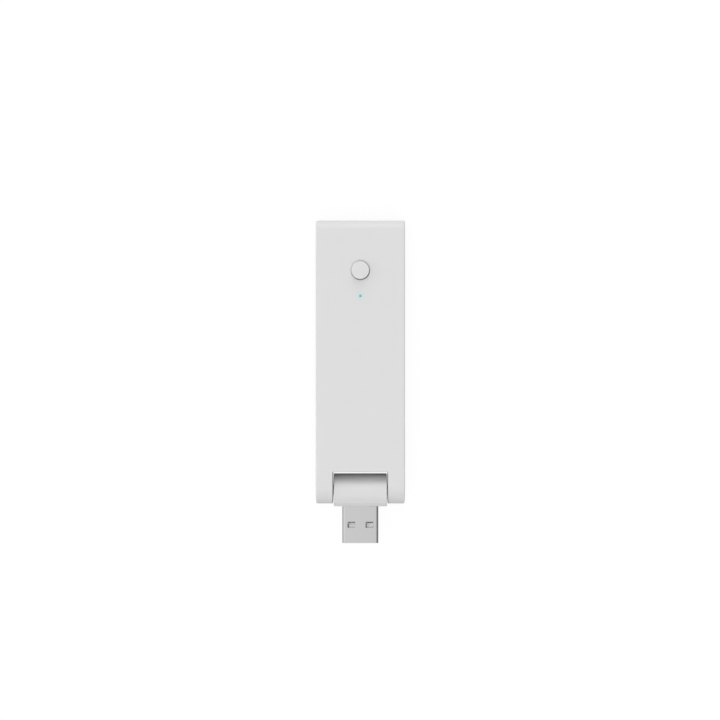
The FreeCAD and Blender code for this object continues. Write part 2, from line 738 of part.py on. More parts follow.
def pivot_pin(label, sign, hollow):
    """A turned steel pin: a flange with two flats in the block, and a head behind the ear's wall."""
    body = new_body(label)
    rim = "Sizes.pin_flange_diameter / 2"
    shaft = "Sizes.pin_diameter / 2"
    head = "Sizes.pin_head_diameter / 2"
    core = "Sizes.pin_bore / 2" if hollow else "0"
    corners = [(BLOCK_INSIDE, core), (HEAD_END, core), (HEAD_END, head), (HEAD_START, head),
               (HEAD_START, shaft), (FLANGE_END, shaft), (FLANGE_END, rim), (BLOCK_INSIDE, rim)]
    if sign < 0:
        corners = [(f"-{x}", y) for x, y in reversed(corners)]
    sketch = new_sketch(body, "XY_Plane", "pin_profile")
    draw_outline(sketch, corners)
    revolve(body, "pin", sketch, "H_Axis")
    flats = new_sketch(body, "XY_Plane", "flats_plan")
    left, right = f"({BLOCK_INSIDE} - Sizes.margin)", FLANGE_END
    if sign < 0:
        left, right = f"-{right}", f"-{left}"
    flat = "Sizes.pin_flats / 2"
    draw_rectangle(flats, left, right, flat, f"{rim} + Sizes.margin")
    draw_rectangle(flats, left, right, f"-({rim} + Sizes.margin)", f"-({flat})")
    cut(body, "flats", flats, "2 * Sizes.pin_flange_diameter", symmetric=True)


def disc_spring(label, sign):
    """A coned disc spring between the ear's wall and the pin's head, which gives the hinge its grip."""
    body = new_body(label)
    inner = "(Sizes.pin_diameter / 2 + Sizes.running_gap)"
    outer = "(Sizes.spring_diameter / 2)"
    crown = f"({HEAD_START} - Sizes.spring_sheet)"
    brim = f"({EAR_INSIDE} + Sizes.spring_sheet)"
    corners = [(crown, inner), (HEAD_START, inner), (brim, outer), (EAR_INSIDE, outer)]
    if sign < 0:
        corners = [(f"-{x}", y) for x, y in reversed(corners)]
    sketch = new_sketch(body, "XY_Plane", "spring_profile")
    draw_outline(sketch, corners)
    revolve(body, "spring", sketch, "H_Axis")


def usb_shell():
    """The plug's shell: sheet folded into a tube, with two windows on each face and a seam."""
    body = new_body("usb_shell")
    section = new_sketch(body, "XZ_Plane", "shell_section", f"-{SHELL_BACK}")
    draw_rounded(section, "Sizes.plug_width", "Sizes.plug_thickness", "Sizes.shell_corner")
    draw_rounded(section, "Sizes.plug_width - 2 * Sizes.shell_sheet",
                 "Sizes.plug_thickness - 2 * Sizes.shell_sheet", "Sizes.shell_corner - Sizes.shell_sheet")
    pad(body, "tube", section, f"{SHELL_BACK} - {TIP}")
    windows = new_sketch(body, "XY_Plane", "window_plan")
    low = f"({TIP} + Sizes.window_inset)"
    for sign in ("-", ""):
        middle = f"({sign}Sizes.window_spacing / 2)"
        draw_rectangle(windows, f"{middle} - Sizes.window_width / 2", f"{middle} + Sizes.window_width / 2",
                       low, f"{low} + Sizes.window_length")
    cut(body, "windows", windows, "2 * Sizes.plug_thickness", symmetric=True)
    seam = new_sketch(body, "XY_Plane", "seam_plan", "-Sizes.plug_thickness")
    draw_seam(seam)
    cut(body, "seam", seam, "Sizes.plug_thickness", reverse=True)


def seam_side(shift, spread):
    """Return one side of the seam, from the tip up, with a dovetail step at each of the two locks."""
    points = [(shift, f"({TIP} - Sizes.margin)")]
    for number in range(2):
        middle = f"({TIP} + Sizes.lock_inset + {number} * Sizes.lock_spacing)"
        neck, head = f"(Sizes.lock_neck / 2 + {spread})", f"(Sizes.lock_head / 2 + {spread})"
        deep = f"({shift} - Sizes.lock_depth)"
        points += [(shift, f"{middle} - {neck}"), (deep, f"{middle} - {head}"),
                   (deep, f"{middle} + {head}"), (shift, f"{middle} + {neck}")]
    points.append((shift, f"({SHELL_BACK} + Sizes.margin)"))
    return points


def draw_seam(sketch):
    """Draw the seam on the shell's back, a fine slot whose two dovetails lock the folded sheet."""
    right = seam_side("(Sizes.seam_width / 2)", "0")
    left = seam_side("(-Sizes.seam_width / 2)", "Sizes.seam_width")
    draw_outline(sketch, right + left[::-1])


def usb_tongue():
    """The plug's insulator: a block that fills the shell inside the hinge block, and its tongue."""
    body = new_body("usb_tongue")
    root = new_sketch(body, "XZ_Plane", "root_section", f"-{SHELL_BACK}")
    half = "(Sizes.plug_width / 2 - Sizes.shell_sheet)"
    tall = "(Sizes.plug_thickness / 2 - Sizes.shell_sheet)"
    corner = "(Sizes.shell_corner - Sizes.shell_sheet)"
    draw_rounded(root, f"2 * {half}", f"2 * {tall}", corner)
    pad(body, "root", root, "Sizes.shell_seat")
    blade = new_sketch(body, "XZ_Plane", "tongue_section", f"-{SHELL_BACK}")
    bend_x, bend_z = f"({TONGUE_SIDE} - {corner})", f"({TONGUE_FRONT} - {corner})"
    corners = [(f"-{TONGUE_SIDE}", TONGUE_BACK), (TONGUE_SIDE, TONGUE_BACK), (TONGUE_SIDE, bend_z),
               (bend_x, TONGUE_FRONT), (f"-{bend_x}", TONGUE_FRONT), (f"-{TONGUE_SIDE}", bend_z)]
    draw_outline(blade, corners, {2: (bend_x, bend_z), 4: (f"-{bend_x}", bend_z)})
    pad(body, "tongue", blade, f"{SHELL_BACK} - {TIP} - Sizes.tongue_inset")
    for name, x, start in CONTACTS:
        slot = new_sketch(body, "XZ_Plane", f"slot_{name}", f"-({SHELL_BACK} + Sizes.margin)")
        draw_rectangle(slot, f"{x} - Sizes.contact_width / 2", f"{x} + Sizes.contact_width / 2",
                       CONTACT_BACK, f"{CONTACT_BACK} + Sizes.contact_thickness")
        cut(body, f"groove_{name}", slot, f"{SHELL_BACK} + Sizes.margin - {TIP} - {start}", reverse=True)


def usb_contact(name, x, start):
    """One flat contact, from the tongue's back face through the insulator to the plug board."""
    body = new_body(f"usb_contact_{name}")
    section = new_sketch(body, "XZ_Plane", "contact_section", f"-({SHELL_BACK} + Sizes.contact_tail)")
    draw_rectangle(section, f"{x} - Sizes.contact_width / 2", f"{x} + Sizes.contact_width / 2",
                   CONTACT_BACK, f"{CONTACT_BACK} + Sizes.contact_thickness")
    pad(body, "strip", section, f"{SHELL_BACK} + Sizes.contact_tail - {TIP} - {start}")


def plug_board():
    """The small board inside the hinge block, with a notch at its end for the cable."""
    body = new_body("plug_board")
    plan = new_sketch(body, "XY_Plane", "board_plan", CONTACT_BACK)
    half = "(Sizes.plug_board_width / 2)"
    low, high = f"({SHELL_BACK} + Sizes.part_gap)", f"({SHELL_BACK} + Sizes.plug_board_length)"
    notch = "(Sizes.cable_thickness / 2 + Sizes.running_gap)"
    corners = [(f"-{half}", low), (half, low), (half, f"-{notch}"), (CABLE_INNER_END, f"-{notch}"),
               (CABLE_INNER_END, notch), (half, notch), (half, high), (f"-{half}", high)]
    draw_outline(plan, corners)
    pad(body, "board", plan, "Sizes.plug_board_thickness", reverse=True)


def plug_cable():
    """The flat cable's plug end, straight along the axis, which turns with the hollow pin."""
    body = new_body("plug_cable")
    section = new_sketch(body, "YZ_Plane", "cable_section", CABLE_INNER_END)
    draw_rectangle(section, "-Sizes.cable_thickness / 2", "Sizes.cable_thickness / 2",
                   "-Sizes.cable_width / 2", "Sizes.cable_width / 2")
    pad(body, "cable", section, f"{BLOCK_SIDE} - {CABLE_INNER_END}")


def rounded_path(points, radii):
    """Return straight runs through points, with an arc of the given radius at each inner point."""
    edges = []
    start = points[0]
    for before, corner, after, radius in zip(points, points[1:], points[2:], radii):
        arriving = (corner - before).normalize()
        leaving = (after - corner).normalize()
        turn = arriving.getAngle(leaving)
        reach = radius * math.tan(turn / 2)
        first = corner - arriving * reach
        last = corner + leaving * reach
        inward = (leaving - arriving).normalize()
        middle = corner + inward * (radius / math.cos(turn / 2) - radius)
        edges.append(Part.LineSegment(start, first).toShape())
        edges.append(Part.Arc(first, middle, last).toShape())
        start = last
    edges.append(Part.LineSegment(start, points[-1]).toShape())
    return Part.Wire(edges)


def hub_cable():
    """The flat cable's hub end: out of the hollow pin, up the right ear and over to its connector."""
    rise = value(f"{SIDE} - Sizes.wall - Sizes.cable_thickness / 2 - 3 * Sizes.part_gap")
    entry = value(CONNECTOR_X)
    jog = value(f"{NOTCH_TOP} + Sizes.wall - Sizes.part_gap")
    end = value("Sizes.connector_place - Sizes.connector_depth / 2")
    points = [FreeCAD.Vector(x, y, 0) for x, y in [
        (value(BLOCK_SIDE), 0),
        (rise, 0),
        (rise, jog),
        (entry, jog + value("Sizes.cable_offset")),
        (entry, end),
    ]]
    turn, bend = value("Sizes.cable_turn"), value("Sizes.cable_bend")
    path = rounded_path(points, [turn, bend, bend])
    half, tall = value("Sizes.cable_thickness / 2"), value("Sizes.cable_width / 2")
    rim = [points[0] + FreeCAD.Vector(0, y, z)
           for y, z in [(-half, -tall), (half, -tall), (half, tall), (-half, tall), (-half, -tall)]]
    cable = document.addObject("Part::Feature", "hub_cable")
    cable.Shape = path.makePipeShell([Part.makePolygon(rim)], True, False)
    place(keep(cable))
    section = value("Sizes.cable_thickness * Sizes.cable_width")
    print(f"hub_cable: volume {cable.Shape.Volume:.3f}, section times length {section * path.Length:.3f}")


def main_board():
    """The main circuit board, with its screw holes and cut corners."""
    body = new_body("main_board")
    plan = new_sketch(body, "XY_Plane", "board_plan", BOARD_BACK)
    draw_rectangle(plan, f"-{BOARD_SIDE}", BOARD_SIDE, BOARD_END, BOARD_TOP_END)
    for x, y in SCREWS:
        draw_circle(plan, x, y, "Sizes.screw_diameter + 4 * Sizes.part_gap")
    pad(body, "board", plan, "Sizes.board_thickness")

    def corner(box):
        return upright(box) and flat_at(abs(box.XMin), abs(box.XMax), value(BOARD_SIDE))

    chamfer_edges(body, "corners", "Sizes.board_corner", corner)


def box_on_board(label, width, length, height, x, y, back=False, level=None):
    """A plain package that stands on the main board, centred at x, y."""
    body = new_body(label)
    base = level or (BOARD_BACK if back else BOARD_FRONT)
    plan = new_sketch(body, "XY_Plane", f"{label}_plan", base)
    draw_rectangle(plan, f"{x} - {width} / 2", f"{x} + {width} / 2",
                   f"{y} - {length} / 2", f"{y} + {length} / 2")
    pad(body, label + "_block", plan, height, reverse=back)
    return body


def can(label, width, length, height, x, y, base):
    """A shield can drawn from thin sheet, open towards the board."""
    body = new_body(label)
    plan = new_sketch(body, "XY_Plane", "can_plan", base)
    draw_rectangle(plan, f"{x} - {width} / 2", f"{x} + {width} / 2",
                   f"{y} - {length} / 2", f"{y} + {length} / 2")
    pad(body, "block", plan, height)
    block = body.Tip
    hollow = body.newObject("PartDesign::Thickness", "hollow")
    hollow.Base = (block, chosen(block.Shape, "Face", lambda box: flat_at(box.ZMin, box.ZMax, value(base))))
    hollow.Reversed = True
    hollow.Join = "Intersection"
    bind(hollow, "Value", "Sizes.can_sheet")
    document.recompute()


def flash_chip():
    """The flash chip on the back of the board, with four leads on each side."""
    body = box_on_board("flash_chip", "Sizes.flash_width", "Sizes.flash_length", "Sizes.flash_height",
                        "Sizes.flash_offset", "Sizes.flash_place", back=True)
    leads = new_sketch(body, "XY_Plane", "lead_plan", BOARD_BACK)
    reach = "(Sizes.flash_width / 2 + Sizes.lead_reach)"
    for steps in (-3, -1, 1, 3):
        middle = f"(Sizes.flash_place + {steps} * Sizes.lead_pitch / 2)"
        draw_rectangle(leads, f"Sizes.flash_offset - {reach}", f"Sizes.flash_offset + {reach}",
                       f"{middle} - Sizes.lead_width / 2", f"{middle} + Sizes.lead_width / 2")
    pad(body, "leads", leads, "Sizes.lead_height", reverse=True)


def antenna(label, sign):
    """A stamped antenna: a flat strip with a leg folded down at each end to the board."""
    body = new_body(label)
    middle = f"({sign}Sizes.antenna_spacing / 2)"
    left, right = f"({middle} - Sizes.antenna_length / 2)", f"({middle} + Sizes.antenna_length / 2)"
    high = f"({BOARD_FRONT} + Sizes.antenna_height)"
    sheet_gap = "Sizes.antenna_sheet"
    sketch = new_sketch(body, "XZ_Plane", "antenna_section", f"-({TOP} - Sizes.antenna_inset)")
    corners = [(left, BOARD_FRONT), (f"{left} + {sheet_gap}", BOARD_FRONT),
               (f"{left} + {sheet_gap}", f"{high} - {sheet_gap}"),
               (f"{right} - {sheet_gap}", f"{high} - {sheet_gap}"),
               (f"{right} - {sheet_gap}", BOARD_FRONT), (right, BOARD_FRONT), (right, high), (left, high)]
    draw_outline(sketch, corners)
    pad(body, "strip", sketch, "Sizes.antenna_width", symmetric=True)
    trim_level = f"-({TOP} - Sizes.antenna_inset + Sizes.antenna_width / 2)"
    trim = new_sketch(body, "XZ_Plane", "leg_trim", trim_level)
    draw_rectangle(trim, f"{left} - Sizes.margin", f"{right} + Sizes.margin",
                   f"{BOARD_FRONT} - Sizes.margin", f"{high} - 2 * {sheet_gap}")
    cut(body, "narrow_legs", trim, "Sizes.antenna_width - Sizes.antenna_leg", reverse=True)


def power_inductor():
    """The power inductor, a low block with cut corners."""
    body = box_on_board("power_inductor", "Sizes.inductor_side", "Sizes.inductor_side",
                        "Sizes.inductor_height", "-Sizes.inductor_offset", "Sizes.power_place")
    chamfer_edges(body, "corners", "Sizes.inductor_corner",
                  lambda box: upright(box) and near(box.XMin, box.XMax) and near(box.YMin, box.YMax))


def board_screws():
    """The two screws that hold the main board to the front cover's bosses."""
    solids = []
    for x, y in SCREWS:
        head = document.addObject("Part::Cylinder", "screw_head")
        bind(head, "Radius", "Sizes.screw_head / 2")
        bind(head, "Height", "Sizes.screw_head_height")
        bind(head, "Placement.Base.z", f"{BOARD_BACK} - Sizes.screw_head_height")
        shank = document.addObject("Part::Cylinder", "screw_shank")
        bind(shank, "Radius", "Sizes.screw_diameter / 2")
        bind(shank, "Height", "Sizes.board_thickness + Sizes.screw_length")
        bind(shank, "Placement.Base.z", BOARD_BACK)
        for piece in (head, shank):
            bind(piece, "Placement.Base.x", x)
            bind(piece, "Placement.Base.y", y)
            solids.append(piece)
    group = document.addObject("Part::MultiFuse", "board_screws")
    group.Shapes = solids
    place(keep(group))


def capacitors():
    """Six ceramic capacitors beside the power parts."""
    solids = []
    for number in range(6):
        block = document.addObject("Part::Box", "capacitor")
        bind(block, "Length", "Sizes.capacitor_length")
        bind(block, "Width", "Sizes.capacitor_width")
        bind(block, "Height", "Sizes.capacitor_width")
        column, line = number % 2, number // 2
        bind(block, "Placement.Base.x",
             f"Sizes.capacitor_offset + {column} * (Sizes.capacitor_length + Sizes.capacitor_width)")
        bind(block, "Placement.Base.y", f"Sizes.power_place + ({line} - 1) * Sizes.capacitor_pitch")
        bind(block, "Placement.Base.z", BOARD_FRONT)
        solids.append(block)
    group = document.addObject("Part::MultiFuse", "capacitors")
    group.Shapes = solids
    place(keep(group))


def electronics():
    """Everything that stands on the main board."""
    cable_connector = ("Sizes.connector_width", "Sizes.connector_depth", "Sizes.connector_height",
                       CONNECTOR_X, "Sizes.connector_place")
    box_on_board("cable_connector", *cable_connector)
    box_on_board("status_led", "Sizes.led_length", "Sizes.led_width", "Sizes.led_height", "0", LIGHT_Y)
    box_on_board("processor", "Sizes.processor_side", "Sizes.processor_side", "Sizes.processor_height",
                 "-Sizes.processor_offset", CAN_Y)
    box_on_board("memory_chip", "Sizes.memory_width", "Sizes.memory_length", "Sizes.memory_height",
                 "Sizes.memory_offset", CAN_Y)
    can("shield_can", "Sizes.can_width", f"({CAN_HIGH} - {CAN_LOW})", "Sizes.can_height", "0", CAN_Y,
        BOARD_FRONT)
    box_on_board("thermal_pad", "Sizes.pad_side", "Sizes.pad_side", f"{INSIDE} + {BOARD_BACK}",
                 "-Sizes.processor_offset", CAN_Y, back=True)
    flash_chip()
    box_on_board("radio_board", "Sizes.radio_width", "Sizes.radio_length", "Sizes.radio_board",
                 "-Sizes.radio_offset", "Sizes.radio_place")
    can("radio_can", "(Sizes.radio_width - 2 * Sizes.radio_margin)",
        "(Sizes.radio_length - 4 * Sizes.radio_margin)", "Sizes.radio_can_height",
        "-Sizes.radio_offset", "(Sizes.radio_place - Sizes.radio_margin)",
        f"({BOARD_FRONT} + Sizes.radio_board)")
    antenna("zigbee_antenna", "-")
    antenna("wifi_antenna", "")
    power_inductor()
    box_on_board("voltage_regulator", "Sizes.regulator_side", "Sizes.regulator_side",
                 "Sizes.regulator_height", "-Sizes.regulator_offset", "Sizes.power_place")
    box_on_board("clock_crystal", "Sizes.crystal_length", "Sizes.crystal_width", "Sizes.crystal_height",
                 "Sizes.crystal_offset", f"({LIGHT_Y} - Sizes.crystal_gap)")
    capacitors()


def hinge():
    """The hinge block, its pins and springs, and the plug with its board and cable."""
    block_half("hinge_block_front", front=True)
    block_half("hinge_block_back", front=False)
    pivot_pin("pivot_pin_left", -1, hollow=False)
    pivot_pin("pivot_pin_right", 1, hollow=True)
    disc_spring("disc_spring_left", -1)
    disc_spring("disc_spring_right", 1)
    usb_shell()
    usb_tongue()
    for contact in CONTACTS:
        usb_contact(*contact)
    plug_board()
    plug_cable()
    hub_cable()


def check_and_write():
    """Stop on any failed object or shape, then write each sub-part to its own file."""
    document.recompute()
    for item in document.Objects:
        if "Invalid" in item.State or "Error" in item.State:
            raise ValueError(f"{item.Label} failed: {item.State}")
    os.makedirs("parts", exist_ok=True)
    for item in sub_parts:
        shape = item.Shape
        if shape.isNull() or not shape.isValid():
            raise ValueError(f"{item.Label} has no valid shape")
        shape.exportStep(f"parts/{item.Label}.step")
        print(f"{item.Label}: {len(shape.Solids)} solid, {shape.Volume:.2f} mm3")


front_cover()
back_cover()
button_cap()
tact_switch()
light_pipe()
hinge()
main_board()
board_screws()
electronics()
check_and_write()
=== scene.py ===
# %% [markdown]
# A stick hub with a hinged plug
#
# The thing to show is small and plain: a flat white stick of moulded plastic, a round button, a
# pinhole with a lit lamp behind it, and a metal plug on a block that turns in a notch. Plain white
# things are hard to light, because nothing but soft shade tells their shape. So the work here is
# mostly camera, light and surface. The frame, made in CAD, already holds every form that the shade must
# show. Only the button, the plug and the block that carries it are modelled again, with finer edges.

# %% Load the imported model
import json
import math

import bpy
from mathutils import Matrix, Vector


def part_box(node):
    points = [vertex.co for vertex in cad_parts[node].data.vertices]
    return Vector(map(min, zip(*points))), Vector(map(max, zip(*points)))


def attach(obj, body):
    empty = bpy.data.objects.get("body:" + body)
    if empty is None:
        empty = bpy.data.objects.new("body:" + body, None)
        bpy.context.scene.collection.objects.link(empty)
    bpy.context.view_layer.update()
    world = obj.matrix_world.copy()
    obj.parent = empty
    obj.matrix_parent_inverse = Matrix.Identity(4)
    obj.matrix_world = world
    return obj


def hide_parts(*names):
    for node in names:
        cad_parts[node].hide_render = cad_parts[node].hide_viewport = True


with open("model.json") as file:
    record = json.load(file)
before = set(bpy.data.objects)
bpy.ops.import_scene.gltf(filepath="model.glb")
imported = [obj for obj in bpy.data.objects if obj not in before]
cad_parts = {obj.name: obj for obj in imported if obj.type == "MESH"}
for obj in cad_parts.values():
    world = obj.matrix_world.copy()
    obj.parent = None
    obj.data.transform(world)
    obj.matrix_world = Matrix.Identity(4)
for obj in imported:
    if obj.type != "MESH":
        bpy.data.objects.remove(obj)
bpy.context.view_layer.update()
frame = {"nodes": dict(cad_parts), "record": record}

MM = 0.001
nodes = frame["nodes"]

# %% [markdown]
# The camera
#
# The picture is taken from straight above, about a forearm's length away, with the stick upright in a
# square frame. A long lens keeps the sides of the stick out of sight. How many pixels a millimetre of
# the front face takes settles the lens, and two places in the picture settle where the camera stands:
# the column of the stick's middle line and the row of its top end. The top end is round, so its outline
# in the picture lies a little below the face.

# %% Camera
PICTURE = 720
FACE_SCALE = 3.047 / MM
MIDDLE_COLUMN = 360.35
TOP_ROW = 220.5
CAMERA_ABOVE_FACE = 350 * MM
OUTLINE_BELOW_FACE = 2.6 * MM
SENSOR = 36.0
NEAREST_SEEN = 10 * MM

front_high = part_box("front_cover")[1]
face_level = front_high.z
outline_scale = FACE_SCALE * CAMERA_ABOVE_FACE / (CAMERA_ABOVE_FACE + OUTLINE_BELOW_FACE)
camera_x = (PICTURE / 2 - MIDDLE_COLUMN) / FACE_SCALE
camera_y = front_high.y - (PICTURE / 2 - TOP_ROW) / outline_scale

camera_data = bpy.data.cameras.new("picture_camera")
camera_data.sensor_width = SENSOR
camera_data.lens = SENSOR * CAMERA_ABOVE_FACE * FACE_SCALE / PICTURE
camera_data.clip_start = NEAREST_SEEN
camera = bpy.data.objects.new("picture_camera", camera_data)
bpy.context.scene.collection.objects.link(camera)
camera.location = (camera_x, camera_y, face_level + CAMERA_ABOVE_FACE)
bpy.context.scene.camera = camera
print(f"lens {camera_data.lens:.2f} mm, camera at {camera.location / MM} mm")

# %% [markdown]
# Helpers for modelling
#
# Modelling by hand is the same few moves again and again: add a primitive, pick faces or edges, extrude
# or bevel them, finish with a modifier. An operator acts on all that is selected, so each helper starts
# by selecting only what it works on. Faces and edges are picked in code, by where they lie. Large faces
# get most say in how a piece is shaded, so that flats look flat up to their rounded edges.

# %% Primitives and modifiers
MERGE_WITHIN = 0.001 * MM
AREA_WEIGHT = 80


def select_only(piece):
    """Make a piece the only selected and active object."""
    bpy.ops.object.select_all(action="DESELECT")
    piece.select_set(True)
    bpy.context.view_layer.objects.active = piece


def add_box(name, low, high):
    """Add a box between two corners, with its place in its mesh."""
    bpy.ops.object.select_all(action="DESELECT")
    low, high = Vector(low), Vector(high)
    bpy.ops.mesh.primitive_cube_add(size=1, location=(low + high) / 2, scale=high - low)
    piece = bpy.context.object
    piece.name = name
    bpy.ops.object.transform_apply(location=True, rotation=True, scale=True)
    return piece


def copy_of_node(name, node):
    """Copy a frame node's mesh to a new piece, and merge its loose triangles."""
    piece = bpy.data.objects.new(name, nodes[node].data.copy())
    bpy.context.scene.collection.objects.link(piece)
    select_only(piece)
    bpy.ops.object.mode_set(mode="EDIT")
    bpy.ops.mesh.select_all(action="SELECT")
    bpy.ops.mesh.remove_doubles(threshold=MERGE_WITHIN)
    bpy.ops.object.mode_set(mode="OBJECT")
    return piece


def finish_modifier(piece, kind, **settings):
    """Add a modifier with its settings, and apply it."""
    select_only(piece)
    modifier = piece.modifiers.new(kind.lower(), kind)
    for key, setting in settings.items():
        setattr(modifier, key, setting)
    bpy.ops.object.modifier_apply(modifier=modifier.name)


def cut_away(piece, cutter):
    """Cut one piece with another, which is used up."""
    finish_modifier(piece, "BOOLEAN", operation="DIFFERENCE", solver="EXACT", object=cutter)
    bpy.data.objects.remove(cutter)


def choose(piece, kind, test):
    """Select the faces, edges or points of a piece that pass a test, and go to edit mode."""
    select_only(piece)
    bpy.ops.object.mode_set(mode="EDIT")
    bpy.ops.mesh.select_mode(type=kind)
    bpy.ops.mesh.select_all(action="DESELECT")
    bpy.ops.object.mode_set(mode="OBJECT")
    mesh = piece.data
    items = {"FACE": mesh.polygons, "EDGE": mesh.edges, "VERT": mesh.vertices}[kind]
    for item in items:
        item.select = test(item)
    bpy.ops.object.mode_set(mode="EDIT")


def edge_run(piece, edge):
    """Return how far an edge runs along each axis."""
    first, second = [piece.data.vertices[number].co for number in edge.vertices]
    return second - first


def smooth(piece, degrees):
    """Shade a piece smooth, with hard edges where it turns by more than some degrees."""
    select_only(piece)
    bpy.ops.object.shade_smooth_by_angle(angle=math.radians(degrees))
    finish_modifier(piece, "WEIGHTED_NORMAL", mode="FACE_AREA", weight=AREA_WEIGHT, keep_sharp=True)


def push(value):
    """Extrude what is selected and move it."""
    bpy.ops.mesh.extrude_region_move(TRANSFORM_OT_translate={"value": value})


def report(piece):
    """Print how many faces a piece came to."""
    print(f"{piece.name}: {len(piece.data.polygons)} faces")


print("helpers ready")

# %% [markdown]
# The push button
#
# The button is a moulded cap with a flat top, a fine round along its edge, a flange below that keeps it
# in the housing and a stem that works the switch. It could be drawn as a profile and spun, but it's as
# quick to grow it from a disc: extrude up for a wall, extrude and scale for a step. The very slight
# hollow in its top is what the finger feels, and it makes the edge catch the light. A cap with play in
# its hole never sits quite in the middle, so the ring of shade about it is wider on one side.

# %% Sizes of the push button
CAP_RADIUS = 2.95 * MM
STEM_RADIUS = 1.3 * MM
FLANGE_THICKNESS = 0.6 * MM
FRONT_WALL = 1.3 * MM
CAP_EDGE = 0.12 * MM
CAP_EDGE_STEPS = 3
DISH_DEPTH = 0.05 * MM
DISH_INSETS = (0.45 * CAP_RADIUS, 0.3 * CAP_RADIUS)
CAP_POINTS = 96
CAP_PLAY = Vector((-0.05 * MM, 0.08 * MM, 0))

button_low, button_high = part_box("button_cap")
button_middle = (button_low + button_high) / 2 + CAP_PLAY
flange_radius = (button_high.x - button_low.x) / 2
flange_top = face_level - FRONT_WALL
print(f"cap on a flange of {flange_radius / MM:.2f} mm, top at {button_high.z / MM:.2f} mm")


# %% Grow the push button from its foot
def widen(middle, factor):
    """Extrude the selected disc in place and scale it about the middle."""
    push((0, 0, 0))
    bpy.ops.transform.resize(value=(factor, factor, 1), center_override=middle)


bpy.ops.object.select_all(action="DESELECT")
bpy.ops.mesh.primitive_circle_add(vertices=CAP_POINTS, radius=STEM_RADIUS, fill_type="NGON",
                                  location=(button_middle.x, button_middle.y, button_low.z))
push_button = bpy.context.object
push_button.name = "push_button"
bpy.ops.object.transform_apply(location=True, rotation=True, scale=True)
bpy.ops.object.mode_set(mode="EDIT")
bpy.ops.mesh.select_all(action="SELECT")
steps = [(flange_top - FLANGE_THICKNESS, flange_radius / STEM_RADIUS),
         (flange_top, CAP_RADIUS / flange_radius),
         (button_high.z, None)]
level = button_low.z
for top, factor in steps:
    push((0, 0, top - level))
    if factor:
        widen(button_middle, factor)
    level = top
bpy.ops.mesh.inset(thickness=DISH_INSETS[0])
bpy.ops.transform.translate(value=(0, 0, -DISH_DEPTH))
bpy.ops.mesh.inset(thickness=DISH_INSETS[1])
bpy.ops.object.mode_set(mode="OBJECT")
report(push_button)

# %% Round the push button's edges
finish_modifier(push_button, "BEVEL", width=CAP_EDGE, segments=CAP_EDGE_STEPS, limit_method="ANGLE",
                angle_limit=math.radians(60))
smooth(push_button, degrees=40)
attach(push_button, "button")
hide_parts("button_cap")
report(push_button)

# %% [markdown]
# The plug's sleeve
#
# The sleeve of a plug is one strip of sheet metal, folded round and locked along a seam on its back by
# two dovetails. Two windows on each face let the socket's springs drop in. Here it starts as a box
# without ends: bevelling its four long edges makes the folds, and a Solidify modifier gives it the
# sheet's thickness. Windows and seam are cut afterwards, as a press tool would. Last comes a fine bevel
# along every cut edge, because a stamped edge is never quite sharp, and the light shows it.

# %% Sizes of the sleeve
SHEET = 0.3 * MM
FOLD_RADIUS = 0.8 * MM
FOLD_STEPS = 8
WINDOW_WIDTH = 2.5 * MM
WINDOW_LENGTH = 1.95 * MM
WINDOW_SPACING = 6.0 * MM
WINDOW_INSET = 5.13 * MM
SEAM_GAP = 0.08 * MM
LOCK_PLACES = (2.6 * MM, 9.5 * MM)
LOCK_DEPTH = 1.2 * MM
LOCK_NECK = 1.0 * MM
LOCK_HEAD = 1.8 * MM
CUT_EDGE = 0.035 * MM
CUT_EDGE_STEPS = 2
SPARE = 1.0 * MM
FACING = 0.9

shell_low, shell_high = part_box("usb_shell")
shell_middle = (shell_low + shell_high) / 2
print(f"sleeve {(shell_high - shell_low) / MM} mm")

# %% Fold the sleeve
plug_sleeve = add_box("plug_sleeve", shell_low, shell_high)
choose(plug_sleeve, "FACE", lambda face: abs(face.normal.y) > FACING)
bpy.ops.mesh.delete(type="FACE")
bpy.ops.object.mode_set(mode="OBJECT")
choose(plug_sleeve, "EDGE", lambda edge: abs(edge_run(plug_sleeve, edge).y) > SPARE)
bpy.ops.mesh.bevel(offset=FOLD_RADIUS, segments=FOLD_STEPS, affect="EDGES")
bpy.ops.object.mode_set(mode="OBJECT")
finish_modifier(plug_sleeve, "SOLIDIFY", thickness=SHEET, offset=-1, use_even_offset=True)
report(plug_sleeve)

# %% Cut the windows through both faces
window_low = shell_low.y + WINDOW_INSET
for side in (-1, 1):
    middle_x = shell_middle.x + side * WINDOW_SPACING / 2
    cutter = add_box("window_cutter",
                     (middle_x - WINDOW_WIDTH / 2, window_low, shell_low.z - SPARE),
                     (middle_x + WINDOW_WIDTH / 2, window_low + WINDOW_LENGTH, shell_high.z + SPARE))
    cut_away(plug_sleeve, cutter)
report(plug_sleeve)

# %% Draw the seam: one zigzag line
turns = [(0, -SPARE)]
for spot in LOCK_PLACES:
    turns += [(0, spot - LOCK_NECK / 2), (-LOCK_DEPTH, spot - LOCK_HEAD / 2),
              (-LOCK_DEPTH, spot + LOCK_HEAD / 2), (0, spot + LOCK_NECK / 2)]
turns.append((0, shell_high.y - shell_low.y + SPARE))
bpy.ops.object.select_all(action="DESELECT")
bpy.ops.mesh.primitive_plane_add(
    size=SPARE, location=(shell_middle.x, shell_low.y, shell_low.z - SPARE))
seam_cutter = bpy.context.object
bpy.ops.object.transform_apply(location=True, rotation=True, scale=True)
bpy.ops.object.mode_set(mode="EDIT")
bpy.ops.mesh.select_mode(type="VERT")
bpy.ops.mesh.select_all(action="SELECT")
bpy.ops.mesh.merge(type="CENTER")
bpy.ops.transform.translate(value=(turns[0][0], turns[0][1], 0))
for before, after in zip(turns, turns[1:]):
    push((after[0] - before[0], after[1] - before[1], 0))
bpy.ops.object.mode_set(mode="OBJECT")
print(f"seam of {len(turns) - 1} straight runs")

